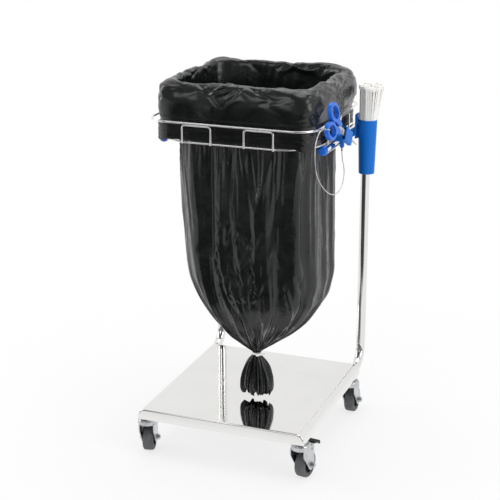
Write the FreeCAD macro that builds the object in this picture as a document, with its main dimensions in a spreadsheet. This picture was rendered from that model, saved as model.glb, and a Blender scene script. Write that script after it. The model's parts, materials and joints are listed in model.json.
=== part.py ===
import FreeCAD, Part

import math
import os

import Mesh
import Sketcher
from FreeCAD import Placement, Rotation, Vector

# Bag holder floor stand, in millimetres: +X right, +Y back, +Z up, floor at zero.
# The model is laid out about the middle of the base plate, then moved so that its
# origin is the middle of its footprint on the floor.

DRIVING_SIZES = {
    "plate_width": 400,
    "plate_depth": 430,
    "plate_sheet": 1.5,
    "plate_skirt": 25,
    "plate_edge_radius": 18,
    "plate_bend_radius": 3,
    "tube_diameter": 22,
    "tube_wall": 1.5,
    "leg_bend_radius": 50,
    "arm_bend_radius": 60,
    "post_setback": 51,
    "arm_height": 722,
    "arm_length": 332,
    "cap_head": 12,
    "cap_grip": 14,
    "ring_half_width": 191.5,
    "ring_front": -156,
    "ring_back": 203,
    "ring_corner_radius": 48,
    "lower_ring_corner_radius": 95,
    "ring_gap": 42.5,
    "upper_ring_wire": 5,
    "lower_ring_wire": 4.5,
    "loop_wire": 4,
    "loop_width": 66,
    "loop_corner_radius": 7,
    "loop_spacing": 142,
    "cassette_inset": 9.5,
    "cassette_offset": 3,
    "cassette_thickness": 22,
    "cassette_height": 34,
    "cassette_pleat": 3.5,
    "film_wall": 1.5,
    "mouth_rise": 89,
    "mouth_half_width": 150,
    "body_half_width": 160,
    "body_half_depth": 142,
    "neck_height": 232,
    "neck_radius": 8,
    "tail_length": 104,
    "tie_length": 200,
    "tie_width": 4.8,
    "tie_thickness": 1.2,
    "tie_cup_height": 125,
    "tie_cup_top_radius": 21.7,
    "tie_cup_bottom_radius": 18,
    "tie_cup_wall": 1.8,
    "clip_wall": 3,
    "clip_length": 24,
    "blade_length": 88,
    "blade_thickness": 1.8,
    "rivet_diameter": 5,
    "finger_ring_length": 51,
    "finger_ring_width": 40,
    "finger_ring_thickness": 10,
    "finger_ring_reach": 58,
    "tether_diameter": 2,
    "caster_height": 94,
    "caster_front_inset": 23,
    "caster_back_inset": 34,
    "caster_trail": 22,
    "wheel_diameter": 63,
    "tyre_width": 25,
    "tyre_thickness": 9.5,
    "hub_width": 30.4,
    "axle_diameter": 8,
    "kingpin_diameter": 8,
    "stem_diameter": 10,
    "fork_sheet": 2.5,
    "crown_diameter": 44,
    "running_clearance": 0.06,
    "seat_gap": 0.1,
    "soft_gap": 0.4,
}

doc = FreeCAD.newDocument("bag_holder_stand")
sheet = doc.addObject("Spreadsheet::Sheet", "Sizes")
for row, (alias, value) in enumerate(DRIVING_SIZES.items(), start=1):
    sheet.set(f"A{row}", alias)
    sheet.set(f"B{row}", str(value))
    sheet.setAlias(f"B{row}", alias)
doc.recompute()

subparts = []


def size(alias):
    return float(sheet.get(alias))


def keep(obj, node, placement=None):
    """Name a finished sub-part after its node and set it in its place."""
    obj.Label = node
    if placement is not None:
        obj.Placement = placement
    subparts.append(obj)
    return obj


# Outlines and sketches

def outline(corners, closed=True):
    """Lines and tangent arcs through corners, each a (point, radius) pair."""
    count = len(corners)
    geometry = []
    stops = []
    for i, (point, radius) in enumerate(corners):
        if radius == 0 or (not closed and i in (0, count - 1)):
            stops.append((point, None, point))
            continue
        to_last = (corners[i - 1][0] - point).normalize()
        to_next = (corners[(i + 1) % count][0] - point).normalize()
        half_angle = to_last.getAngle(to_next) / 2
        setback = radius / math.tan(half_angle)
        inward = (to_last + to_next).normalize()
        middle = point + inward * (radius / math.sin(half_angle) - radius)
        stops.append((point + to_last * setback, middle, point + to_next * setback))
    for i, (start, middle, end) in enumerate(stops):
        if closed or i > 0:
            geometry.append(Part.LineSegment(stops[i - 1][2], start))
        if middle is not None:
            geometry.append(Part.Arc(start, middle, end))
    return geometry


def flat_outline(corners, closed=True):
    """The same in a sketch: each corner is (across, up) or (across, up, radius)."""
    return outline([(Vector(c[0], c[1], 0), c[2] if len(c) > 2 else 0) for c in corners], closed)


def wire_of(geometry):
    return Part.Wire([g.toShape() for g in geometry])


def new_body(name):
    return doc.addObject("PartDesign::Body", name)


def sketch(body, name, plane, geometry, offset=0, radius_cells=()):
    """A sketch on one of the body's own planes, moved along its normal by offset.

    radius_cells holds (index of a circle, expression for its radius) pairs.
    """
    drawing = body.newObject("Sketcher::SketchObject", name)
    support = [f for f in body.Origin.OriginFeatures if f.Role == plane + "_Plane"][0]
    drawing.AttachmentSupport = [(support, "")]
    drawing.MapMode = "FlatFace"
    drawing.AttachmentOffset = Placement(Vector(0, 0, offset), Rotation())
    drawing.addGeometry(geometry, False)
    for index, expression in radius_cells:
        constraint = drawing.addConstraint(
            Sketcher.Constraint("Radius", index, geometry[index].Radius))
        drawing.setExpression(f"Constraints[{constraint}]", expression)
    doc.recompute()
    return drawing


def circle(across, up, radius):
    return Part.Circle(Vector(across, up, 0), Vector(0, 0, 1), radius)


def pad(body, profile, length, symmetric=False, reverse=False):
    feature = body.newObject("PartDesign::Pad", profile.Name + "_pad")
    return extrude(feature, profile, length, symmetric, reverse)


def pocket(body, profile, length, symmetric=False, reverse=False):
    before = body.Shape.Volume
    feature = body.newObject("PartDesign::Pocket", profile.Name + "_pocket")
    extrude(feature, profile, length, symmetric, reverse)
    if body.Shape.Volume >= before:
        raise RuntimeError(f"{feature.Name} cut nothing")
    return feature


def extrude(feature, profile, length, symmetric, reverse):
    feature.Profile = profile
    if isinstance(length, str):
        feature.setExpression("Length", length)
    else:
        feature.Length = length
    feature.SideType = "Symmetric" if symmetric else "One side"
    feature.Reversed = reverse
    doc.recompute()
    return feature


def fillet(body, radius, chosen):
    """Round the edges of the body for which chosen(edge) is true."""
    names = [f"Edge{i}" for i, e in enumerate(body.Shape.Edges, start=1) if chosen(e)]
    base = body.Tip
    feature = body.newObject("PartDesign::Fillet", body.Name + "_round")
    feature.Base = (base, names)
    if isinstance(radius, str):
        feature.setExpression("Radius", radius)
    else:
        feature.Radius = radius
    doc.recompute()
    return feature


def turned(name, corners, upright):
    """A body turned from a half profile: about Z, or about X where it isn't upright."""
    body = new_body(name)
    profile = sketch(body, name + "_profile", "XZ", flat_outline(corners))
    feature = body.newObject("PartDesign::Revolution", name + "_turned")
    feature.Profile = profile
    feature.ReferenceAxis = (profile, ["V_Axis" if upright else "H_Axis"])
    feature.Angle = 360
    doc.recompute()
    return body


def round_bar(name, geometry, diameter_cell):
    """A round wire swept along a path, its diameter bound to a size."""
    path = doc.addObject("Part::Feature", name + "_path")
    path.Shape = wire_of(geometry)
    first = path.Shape.Edges[0]
    start = first.valueAt(first.FirstParameter)
    heading = first.tangentAt(first.FirstParameter)
    section = doc.addObject("Part::Circle", name + "_section")
    section.setExpression("Radius", f"Sizes.{diameter_cell} / 2")
    section.Placement = Placement(start, Rotation(Vector(0, 0, 1), heading))
    bar = doc.addObject("Part::Sweep", name)
    bar.Sections = [section]
    bar.Spine = (path, [f"Edge{i + 1}" for i in range(len(path.Shape.Edges))])
    bar.Solid = True
    doc.recompute()
    return bar


def shaped(name, shape):
    """A sub-part whose form comes straight from a shape."""
    obj = doc.addObject("Part::Feature", name)
    obj.Shape = shape
    return obj


# Places that several pieces share

def caster_front():
    """How far forward the front casters stand, from the plate's front edge."""
    return -size("plate_depth") / 2 + size("caster_front_inset")


def caster_back():
    return size("plate_depth") / 2 - size("caster_back_inset")


def corner_nest():
    """How far a leg tube sits from the centre of the plate's rolled edge, each way."""
    room = (size("plate_edge_radius") - size("plate_sheet")
            - size("tube_diameter") / 2 - size("seat_gap"))
    return room / math.sqrt(2)


def leg_side():
    return size("plate_width") / 2 - size("plate_edge_radius") + corner_nest()


def leg_height():
    return size("caster_height") + size("tube_diameter") / 2


def deck_height():
    return leg_height() - corner_nest() + size("plate_edge_radius")


def post_back():
    return size("plate_depth") / 2 + size("post_setback")


def arm_front():
    return post_back() - size("arm_length")


def lower_ring_height():
    """The lower ring lies on the two arms."""
    return size("arm_height") + (size("tube_diameter") + size("lower_ring_wire")) / 2 + size("seat_gap")


def upper_ring_height():
    return lower_ring_height() + size("ring_gap")


def lower_ring_inset():
    """The lower ring passes just inside the loops' legs."""
    return (size("loop_wire") + size("lower_ring_wire")) / 2 + size("seat_gap")


def basket_centre():
    return (size("ring_front") + size("ring_back")) / 2


def cassette_bottom():
    """The film cassette rests on the lower ring."""
    return lower_ring_height() + size("lower_ring_wire") / 2 + size("soft_gap")


def cassette_top():
    return cassette_bottom() + size("cassette_height")


# Base plate

def base_plate():
    """A pressed tray turned upside down: rolled side edges, flat front and back skirts."""
    half = size("plate_width") / 2
    top = deck_height()
    bottom = top - size("plate_skirt")
    radius = size("plate_edge_radius")
    sheet_metal = size("plate_sheet")
    body = new_body("base_plate")
    outside = [(-half, bottom), (-half, top, radius), (half, top, radius), (half, bottom)]
    pad(body, sketch(body, "plate_outside", "XZ", flat_outline(outside)),
        "Sizes.plate_depth", symmetric=True)
    depth = size("plate_depth") / 2

    def on_end_edge(edge):
        box = edge.BoundBox
        return box.YLength < 0.01 and abs(abs(box.YMin) - depth) < 0.01 and box.ZMax > bottom + 1

    fillet(body, "Sizes.plate_bend_radius", on_end_edge)
    inner = half - sheet_metal
    inner_top = top - sheet_metal
    inner_radius = radius - sheet_metal
    inside = [(-inner, bottom - 1), (-inner, inner_top, inner_radius),
              (inner, inner_top, inner_radius), (inner, bottom - 1)]
    pocket(body, sketch(body, "plate_inside", "XZ", flat_outline(inside)),
           "Sizes.plate_depth - 2 * Sizes.plate_sheet", symmetric=True)
    notch_clear = 0.6
    notch = size("tube_diameter") / 2 + notch_clear
    for side, side_name in ((-1, "left"), (1, "right")):
        middle = side * leg_side()
        slot = [(middle - notch, bottom - 1), (middle - notch, leg_height() + notch, notch * 0.99),
                (middle + notch, leg_height() + notch, notch * 0.99), (middle + notch, bottom - 1)]
        pocket(body, sketch(body, f"leg_notch_{side_name}", "XZ", flat_outline(slot)),
               "Sizes.plate_depth", reverse=False)
    keep(body, "base_plate")


# Bent tubes: leg, post and arm in one

def frame_tube(node, side):
    body = new_body(node)
    end_gap = 1
    front = -size("plate_depth") / 2 + size("plate_sheet") + end_gap
    route = [(front, leg_height()),
             (post_back(), leg_height(), size("leg_bend_radius")),
             (post_back(), size("arm_height"), size("arm_bend_radius")),
             (arm_front(), size("arm_height"))]
    path = sketch(body, node + "_route", "YZ", flat_outline(route, closed=False))
    tube_radius = size("tube_diameter") / 2
    bore_radius = tube_radius - size("tube_wall")
    rings = [circle(0, leg_height(), tube_radius), circle(0, leg_height(), bore_radius)]
    section = sketch(body, node + "_section", "XZ", rings, offset=-front, radius_cells=(
        (0, "Sizes.tube_diameter / 2"), (1, "Sizes.tube_diameter / 2 - Sizes.tube_wall")))
    tube = body.newObject("PartDesign::AdditivePipe", node + "_tube")
    tube.Profile = section
    tube.Spine = (path, [f"Edge{i + 1}" for i in range(path.GeometryCount)])
    doc.recompute()
    hole_radius = size("stem_diameter") / 2 + size("seat_gap")
    holes = [circle(0, caster_front(), hole_radius), circle(0, caster_back(), hole_radius)]
    hole_cell = "Sizes.stem_diameter / 2 + Sizes.seat_gap"
    stems = sketch(body, node + "_stem_holes", "XY", holes,
                   radius_cells=((0, hole_cell), (1, hole_cell)))
    pocket(body, stems, leg_height(), reverse=True)
    keep(body, node, Placement(Vector(side * leg_side(), 0, 0), Rotation()))


def arm_cap(node, side):
    """A domed plastic plug in the open end of an arm, as wide as the tube."""
    outer = size("tube_diameter") / 2
    shank = outer - size("tube_wall") - size("seat_gap")
    head = size("cap_head")
    dome = 7
    edge = 0.8
    end = head + size("cap_grip")
    corners = [(0, 0), (0, outer, dome), (head, outer, edge), (head, shank),
               (end, shank, 1.5), (end, 0)]
    body = turned(node, corners, upright=False)
    front = arm_front() - head - size("seat_gap")
    turn = Rotation(Vector(0, 0, 1), 90)
    keep(body, node, Placement(Vector(side * leg_side(), front, size("arm_height")), turn))


# Wire basket

def ring_route(inset, height, corner_radius, middle_x=0):
    """A rounded rectangle inside the upper ring's line by inset."""
    left = middle_x - size("ring_half_width") + inset
    right = middle_x + size("ring_half_width") - inset
    front = size("ring_front") + inset
    back = size("ring_back") - inset
    corners = [(left, front), (right, front), (right, back), (left, back)]
    return outline([(Vector(x, y, height), corner_radius) for x, y in corners])


def basket_rings():
    upper = ring_route(0, upper_ring_height(), size("ring_corner_radius"))
    keep(round_bar("upper_ring", upper, "upper_ring_wire"), "upper_ring")
    lower = ring_route(lower_ring_inset(), lower_ring_height(), size("lower_ring_corner_radius"))
    keep(round_bar("lower_ring", lower, "lower_ring_wire"), "lower_ring")


def basket_loop(node, start, along):
    """An upside-down U of wire: welded under the upper ring and outside the lower one."""
    top = (upper_ring_height() - (size("upper_ring_wire") + size("loop_wire")) / 2
           - size("seat_gap"))
    bottom = lower_ring_height() - size("lower_ring_wire") / 2
    radius = size("loop_corner_radius")
    near = Vector(start.x, start.y, 0)
    far = near + along * size("loop_width")
    up = Vector(0, 0, 1)
    corners = [(near + up * bottom, 0), (near + up * top, radius),
               (far + up * top, radius), (far + up * bottom, 0)]
    keep(round_bar(node, outline(corners, closed=False), "loop_wire"), node)


def basket_loops():
    half_spacing = size("loop_spacing") / 2
    half_loop = size("loop_width") / 2
    for end, y in (("front", size("ring_front")), ("back", size("ring_back"))):
        for side, middle in (("left", -half_spacing), ("right", half_spacing)):
            start = Vector(middle - half_loop, y, 0)
            basket_loop(f"loop_{end}_{side}", start, Vector(1, 0, 0))
    side_spacing = 45
    for side, x in (("left", -size("ring_half_width")), ("right", size("ring_half_width"))):
        for end, offset in (("front", -side_spacing), ("rear", side_spacing)):
            start = Vector(x, basket_centre() + offset - half_loop, 0)
            basket_loop(f"loop_{side}_{end}", start, Vector(0, 1, 0))


# Film cassette: a folded stack of film in a ring

def film_cassette():
    thickness = size("cassette_thickness")
    pleat = size("cassette_pleat")
    middle_inset = size("cassette_inset") + thickness / 2
    path = doc.addObject("Part::Feature", "cassette_path")
    corner_radius = size("ring_corner_radius") - middle_inset
    path.Shape = wire_of(ring_route(middle_inset, cassette_bottom(), corner_radius,
                                    size("cassette_offset")))
    first = path.Shape.Edges[0]
    start = first.valueAt(first.FirstParameter)
    fold_depth = 1.2
    folds = int(size("cassette_height") / pleat)
    fold_height = size("cassette_height") / folds
    inside = start.x + thickness / 2
    outside = start.x - thickness / 2
    profile = [Vector(inside, start.y, start.z), Vector(inside, start.y, cassette_top())]
    for i in range(folds):
        top = cassette_top() - i * fold_height
        profile.append(Vector(outside + fold_depth, start.y, top))
        profile.append(Vector(outside, start.y, top - fold_height / 2))
    profile.append(Vector(outside + fold_depth, start.y, start.z))
    section = doc.addObject("Part::Feature", "cassette_section")
    section.Shape = Part.makePolygon(profile + [profile[0]])
    stack = doc.addObject("Part::Sweep", "film_cassette")
    stack.Sections = [section]
    stack.Spine = (path, [f"Edge{i + 1}" for i in range(len(path.Shape.Edges))])
    stack.Solid = True
    doc.recompute()
    keep(stack, "film_cassette")


# Bag: one skin drawn over the basket, down inside it, gathered at a neck

GATHERS = ((17, 0.5, 0.4), (12, 0.3, 1.9), (7, 0.2, 4.1))
CRUMPLES = ((5, 0.4, 0.9), (9, 0.35, 2.6), (13, 0.25, 5.0))
SECTION_POINTS = 90


def ripple(waves, angle, phase=0.0):
    """A wave of unit height around the bag, the sum of a few folds."""
    return sum(share * math.cos(count * angle + start + phase) for count, share, start in waves)


def bag_section(height, centre, half, squareness, fold=0.0, waves=GATHERS, lift=0.0, phase=0.0):
    """Points around the bag at one height, with folds across and a rise along it."""
    points = []
    for i in range(SECTION_POINTS):
        angle = 2 * math.pi * i / SECTION_POINTS
        across = abs(math.cos(angle)) / half[0]
        along = abs(math.sin(angle)) / half[1]
        reach = (across ** squareness + along ** squareness) ** (-1 / squareness)
        reach += fold * ripple(waves, angle, phase)
        rise = lift * ripple(CRUMPLES, angle, phase + 1)
        points.append(Vector(centre[0] + reach * math.cos(angle),
                             centre[1] + reach * math.sin(angle), height + rise))
    return points


def collar_stations():
    """Collar profile from its skirt over the crest into the mouth.

    Each station is the inset from the outside of the cassette, the height, how far the
    film leans to the right, and the outward normal of the film's upper side, out and up.
    """
    base = cassette_top() + size("soft_gap")
    rise = size("mouth_rise")
    lean = 5
    mouth = size("ring_half_width") - size("cassette_inset") - size("mouth_half_width")
    return [
        (2.0, base, 0, 1.0, 0.0),
        (-1.0, base + 0.2 * rise, 0.4 * lean, 1.0, 0.0),
        (-5.5, base + 0.48 * rise, lean, 1.0, 0.05),
        (-4.0, base + 0.76 * rise, lean, 0.96, 0.28),
        (3.5, base + 0.94 * rise, lean, 0.6, 0.8),
        (14.5, base + rise, lean, 0.0, 1.0),
        (mouth * 0.75, base + 0.93 * rise, lean, -0.6, 0.8),
        (mouth * 0.88, base + 0.74 * rise, 0.8 * lean, -0.95, 0.3),
        (mouth * 0.96, base + 0.42 * rise, 0.4 * lean, -1.0, 0.05),
        (mouth, base, 0, -1.0, 0.0),
    ]


def collar_skin(depth):
    """The collar's skin, depth below its upper side."""
    outside_x = size("ring_half_width") - size("cassette_inset")
    outside_y = (size("ring_back") - size("ring_front")) / 2 - size("cassette_inset")
    sections = []
    stations = collar_stations()
    crest = 5
    for i, (inset, height, lean, out, up) in enumerate(stations):
        into_mouth = max(0, i - crest + 1) / (len(stations) - crest)
        squareness = 8 - 4 * into_mouth
        centre = (size("cassette_offset") + lean, basket_centre())
        half = (outside_x - inset - depth * out, outside_y - inset - depth * out)
        is_seated = i in (0, len(stations) - 1)
        fold = 0 if is_seated else 3.0
        lift = 4.0 if crest - 3 <= i <= crest + 2 else 0
        sections.append(bag_section(height - depth * up, centre, half, squareness, fold, CRUMPLES, lift))
    return sections


def body_stations():
    """Bag body from the basket to the neck: height, centre, half sizes, squareness, fold depth."""
    wide = size("body_half_width")
    deep = size("body_half_depth")
    neck = size("neck_height")
    hang = cassette_bottom() - neck
    centre_y = basket_centre()
    stations = []
    for down, x, y, share_x, share_y, squareness, fold in (
            (-0.03, 4, 0, 0.97, 0.99, 4.2, 3.0),
            (0.06, 5, -2, 0.985, 1.0, 4.0, 5.0),
            (0.18, 7, -7, 1.0, 1.0, 3.7, 6.0),
            (0.30, 10, -14, 1.0, 1.01, 3.4, 6.0),
            (0.48, 16, -24, 1.0, 1.02, 3.0, 6.0),
            (0.64, 25, -36, 0.985, 0.98, 2.7, 6.0),
            (0.74, 32, -48, 0.89, 0.88, 2.4, 6.5),
            (0.83, 34, -61, 0.70, 0.70, 2.2, 6.5),
            (0.90, 34, -72, 0.47, 0.49, 2.1, 5.5),
            (0.955, 33, -81, 0.24, 0.25, 2.0, 3.5)):
        stations.append((neck + hang * (1 - down), (x, centre_y + y),
                         (wide * share_x, deep * share_y), squareness, fold))
    return stations


def neck_centre():
    return (33, basket_centre() - 85.5)


def tail_stations():
    """Tail below the neck: height, half sizes, fold depth."""
    neck = size("neck_height")
    narrow = size("neck_radius")
    length = size("tail_length")
    return [
        (neck + 4, (narrow * 1.05, narrow * 1.05), 0.6),
        (neck - 3, (narrow, narrow), 0.6),
        (neck - 0.14 * length, (narrow * 1.9, narrow * 1.5), 2.0),
        (neck - 0.35 * length, (narrow * 3.6, narrow * 2.2), 3.5),
        (neck - 0.65 * length, (narrow * 4.5, narrow * 2.6), 4.5),
        (neck - 0.90 * length, (narrow * 4.5, narrow * 2.4), 4.5),
        (neck - length, (narrow * 3.6, narrow * 1.8), 3.5),
    ]


def closed_skin(sections):
    """A solid bounded by flat facets between sections, each end closed to its middle."""
    facets = []
    for ring, after in zip(sections, sections[1:]):
        for i in range(SECTION_POINTS):
            j = (i + 1) % SECTION_POINTS
            facets.append((ring[i], ring[j], after[j]))
            facets.append((ring[i], after[j], after[i]))
    for ring, turned_over in ((sections[0], True), (sections[-1], False)):
        middle = sum(ring, Vector()) / SECTION_POINTS
        for i in range(SECTION_POINTS):
            j = (i + 1) % SECTION_POINTS
            facets.append((middle, ring[j], ring[i]) if turned_over else (middle, ring[i], ring[j]))
    shell = Part.Shape()
    shell.makeShapeFromMesh(Mesh.Mesh(facets).Topology, 0.001)
    return Part.makeSolid(shell)


def bag():
    wall = size("film_wall")
    inside = collar_skin(0)
    outside = collar_skin(wall)
    for height, centre, half, squareness, fold in body_stations():
        outside.append(bag_section(height, centre, half, squareness, fold))
        inner_half = (half[0] - fold - wall, half[1] - fold - wall)
        inside.append(bag_section(height, centre, inner_half, squareness))
    for height, half, fold in tail_stations():
        outside.append(bag_section(height, neck_centre(), half, 2.0, fold))
    del inside[-1]
    solid = closed_skin(list(reversed(outside)) + inside)
    keep(shaped("bag", solid), "bag")


def neck_tie():
    """A cable tie pulled tight round the neck, its head facing front right."""
    x, y = neck_centre()
    inner = size("neck_radius") * 1.05 + 0.6 + size("seat_gap")
    outer = inner + size("tie_thickness")
    low = size("neck_height") - size("tie_width") / 2
    axis = Vector(0, 0, 1)
    middle = Vector(x, y, low)
    band = Part.makeCylinder(outer, size("tie_width"), middle, axis)
    head = Part.makeBox(6, 7, 6.4, Vector(outer - 1, -3.5, -0.8))
    head.Placement = Placement(middle, Rotation(axis, -62))
    loose_end = Part.makeBox(size("tie_thickness"), 20, size("tie_width"), Vector(outer + 1.6, -3, 0))
    loose_end.Placement = Placement(middle, Rotation(axis, -62))
    hole = Part.makeCylinder(inner, size("tie_width") + 10, middle - axis * 5, axis)
    keep(shaped("neck_tie", band.fuse([head, loose_end]).cut(hole)), "neck_tie")


# Clips on the right arm

def arm_clip(middle_y, web):
    """A spring clip round the right arm, open at the top where the lower ring lies.

    web is a shape that carries the clip to what it holds.
    """
    grip = size("tube_diameter") / 2 + size("seat_gap")
    outer = grip + size("clip_wall")
    length = size("clip_length")
    along = Vector(0, 1, 0)
    start = Vector(leg_side(), middle_y - length / 2, size("arm_height"))
    ring = Part.makeCylinder(outer, length, start, along).fuse(web)
    ring = ring.cut(Part.makeCylinder(grip, length + 60, start - along * 30, along))
    mouth_from = math.radians(47)
    mouth_to = math.radians(160)
    reach = 2 * outer
    middle = (mouth_from + mouth_to) / 2
    fan = [Vector(leg_side(), start.y - 1, size("arm_height"))]
    for angle in (mouth_from, middle, mouth_to):
        fan.append(fan[0] + Vector(reach * math.cos(angle), 0, reach * math.sin(angle)))
    wedge = Part.Face(Part.makePolygon(fan + [fan[0]])).extrude(along * (length + 2))
    limit = Part.makeCylinder(outer + 0.5, length + 2, start - along, along)
    return ring.cut(wedge.common(limit)).removeSplitter()


TIE_CUP_OUT = 37.7
TIE_CUP_BACK = 143
TIE_CUP_RISE = 28.5
TIE_TAB_RISE = 40


def tie_cup_axis():
    return Vector(leg_side() + TIE_CUP_OUT, TIE_CUP_BACK, 0)


def tie_cup_top():
    return size("arm_height") + TIE_CUP_RISE


def tie_holder():
    """A tapered cup for cable ties, clipped to the arm beside it."""
    axis = tie_cup_axis()
    height = size("tie_cup_height")
    foot = axis + Vector(0, 0, tie_cup_top() - height)
    wall = size("tie_cup_wall")
    up = Vector(0, 0, 1)
    cup = Part.makeCone(size("tie_cup_bottom_radius"), size("tie_cup_top_radius"), height, foot, up)
    clip_y = axis.y
    side = leg_side() + size("tube_diameter") / 2 + size("seat_gap")
    web_low = size("arm_height") - 16
    tab_top = size("arm_height") + TIE_TAB_RISE
    length = size("clip_length")
    tab_wide = 4
    bridge_deep = 9
    bridge_tall = 30
    tab = Part.makeBox(tab_wide, length, tab_top - web_low, Vector(side, clip_y - length / 2, web_low))
    tab = tab.makeFillet(3, [e for e in tab.Edges if e.BoundBox.ZMin > tab_top - 0.1
                             and e.BoundBox.YLength < 0.1])
    bridge = Part.makeBox(axis.x - side - 6, bridge_deep, bridge_tall,
                          Vector(side, clip_y - bridge_deep / 2, web_low))
    clip = arm_clip(clip_y, tab.fuse(bridge))
    hollow = Part.makeCone(size("tie_cup_bottom_radius") - wall, size("tie_cup_top_radius") - wall,
                           height, foot + up * wall * 1.2, up)
    keep(shaped("tie_holder", cup.fuse(clip).cut(hollow).removeSplitter()), "tie_holder")


# Each ring of straps: its radius at the cup's foot and how many straps stand in it
TIE_RINGS = ((2.1, 2), (5.2, 6), (8.3, 9), (11.4, 12), (14.4, 15))
TIE_RIM_REACH = 17.2
TIE_TOP_REACH = 24.5
TIE_LEAN = 7
TIE_UNEVENNESS = 3.5


def cable_ties():
    """A fanned bunch of straps with their heads up, in rings about the cup's axis."""
    thickness = size("tie_thickness")
    width = size("tie_width")
    foot = tie_cup_top() - size("tie_cup_height") + size("tie_cup_wall") * 1.2 + size("seat_gap")
    rim = tie_cup_top()
    head_deep = 4.6
    head_wide = 7.2
    head_tall = 6.5
    ties = []
    for ring, count in TIE_RINGS:
        spread = ring / TIE_RINGS[-1][0]
        at_rim = spread * TIE_RIM_REACH
        for i in range(count):
            angle = 360 * (i + 0.37 * ring) / count
            at_top = spread * (TIE_TOP_REACH + TIE_LEAN * math.cos(math.radians(angle)))
            uneven = math.sin(12.9 * (i + 1) + 3.1 * ring)
            top = foot + size("tie_length") - head_tall + TIE_UNEVENNESS * uneven
            profile = [Vector(ring, 0, foot), Vector(at_rim, 0, rim), Vector(at_top, 0, top)]
            side = Vector(thickness, 0, 0)
            edge = profile + [p + side for p in reversed(profile)]
            strip = Part.Face(Part.makePolygon(edge + [edge[0]]))
            strip.translate(Vector(0, -width / 2, 0))
            strap = strip.extrude(Vector(0, width, 0))
            head = Part.makeBox(head_deep, head_wide, head_tall,
                                Vector(at_top - (head_deep - thickness) / 2, -head_wide / 2, top - 0.5))
            tie = strap.fuse(head)
            turn = Rotation(Vector(0, 0, 1), angle)
            tie.Placement = Placement(tie_cup_axis(), turn)
            ties.append(tie)
    keep(shaped("cable_ties", Part.makeCompound(ties)), "cable_ties")


# Scissors: laid out flat with the pivot at the origin, tips along X, finger rings behind

SCISSORS_PIVOT = Vector(37.1, -52.7, 42.3)
SCISSORS_AIM = Vector(0.123, 0.846, -0.518)
SCISSORS_SPREAD = Vector(-0.023, 0.525, 0.851)


def scissors_placement():
    """The scissors point back and down through their pocket, beside the right arm."""
    aim = Vector(SCISSORS_AIM).normalize()
    face = aim.cross(SCISSORS_SPREAD).normalize()
    spread = face.cross(aim)
    pivot = Vector(leg_side(), 0, size("arm_height")) + SCISSORS_PIVOT
    turn = FreeCAD.Matrix(aim.x, spread.x, face.x, pivot.x,
                          aim.y, spread.y, face.y, pivot.y,
                          aim.z, spread.z, face.z, pivot.z, 0, 0, 0, 1)
    return Placement(turn)


def blade(node, layer, side):
    """One steel half: blade ahead of the pivot, tang behind it. side is +1 for the upper ring."""
    length = size("blade_length")
    body = new_body(node)
    tang_reach = size("finger_ring_reach") - size("finger_ring_length") / 2 + 10
    drop = -side
    corners = [(length, drop * 0.2), (length * 0.55, drop * 5.2), (8, drop * 7.5),
               (-8, drop * 7), (-tang_reach, side * 8), (-tang_reach, side * 13),
               (-10, side * 6), (6, side * 6.5)]
    if side > 0:
        corners.reverse()
    offset = size("seat_gap") if layer > 0 else -size("seat_gap") - size("blade_thickness")
    drawing = sketch(body, node + "_outline", "XY", flat_outline(corners), offset=offset)
    pad(body, drawing, "Sizes.blade_thickness")
    pin_radius = size("rivet_diameter") / 2
    bore = pin_radius + size("running_clearance")
    hole = sketch(body, node + "_hole", "XY", [circle(0, 0, bore)], offset=-10)
    pocket(body, hole, 20, reverse=True)
    keep(body, node, scissors_placement())


def finger_ring(node, side):
    """A plastic handle moulded round the tang: an oval ring and a neck towards the pivot."""
    long_half = size("finger_ring_length") / 2
    short_half = size("finger_ring_width") / 2
    thickness = size("finger_ring_thickness")
    rim = 7.5
    reach = size("finger_ring_reach")
    centre_y = side * (short_half + 0.6)
    centre = Vector(-reach, centre_y, -thickness / 2)
    up = Vector(0, 0, 1)

    def oval(long_radius, short_radius):
        turn = Placement(centre, Rotation(up, -side * 8))
        ellipse = Part.Ellipse(Vector(0, 0, 0), long_radius, short_radius).toShape()
        face = Part.Face(Part.Wire([ellipse]))
        face.Placement = turn
        return face.extrude(up * thickness)

    def rounded_rims(solid, radius):
        return solid.makeFillet(radius, [e for e in solid.Edges if e.BoundBox.ZLength < 0.01])

    ring = rounded_rims(oval(long_half, short_half), 2.5)
    ring = ring.cut(oval(long_half - rim, short_half - rim))
    corners = [(-reach + 8, side * 4), (-26, side * 1.2), (-13, side * 6.6), (-13, side * 9.8),
               (-reach + 16, side * 24)]
    neck = Part.Face(wire_of(flat_outline(corners)))
    neck.translate(Vector(0, 0, -thickness / 2))
    neck = rounded_rims(neck.extrude(up * thickness), 1.5)
    hole = oval(long_half - rim, short_half - rim)
    handle = ring.fuse(neck).cut(hole).removeSplitter()
    layer = 1 if side > 0 else -1
    slot_gap = size("seat_gap")
    low = slot_gap if layer > 0 else -slot_gap - size("blade_thickness")
    tang_reach = reach - long_half + 10
    slot = [(0, -side * 7), (-8 - slot_gap, -side * 7), (-tang_reach - slot_gap, side * (8 - slot_gap)),
            (-tang_reach - slot_gap, side * (13 + slot_gap)), (-10, side * (6 + slot_gap)), (0, side * 7)]
    tang = Part.Face(wire_of(flat_outline(slot)))
    tang.translate(Vector(0, 0, low - slot_gap / 2))
    handle = handle.cut(tang.extrude(up * (size("blade_thickness") + slot_gap)))
    keep(shaped(node, handle), node, scissors_placement())


def scissors_pivot():
    """A domed rivet through both blades."""
    pin = size("rivet_diameter") / 2
    half = size("blade_thickness") + size("seat_gap") * 2
    head = pin + 2.2
    height = 1.4
    corners = [(0, -half - height), (head, -half - height, 0.8), (head, -half), (pin, -half),
               (pin, half), (head, half), (head, half + height, 0.8), (0, half + height)]
    keep(turned("scissors_pivot", corners, upright=True), "scissors_pivot", scissors_placement())


SCISSORS_CLIP_BACK = 53


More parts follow.
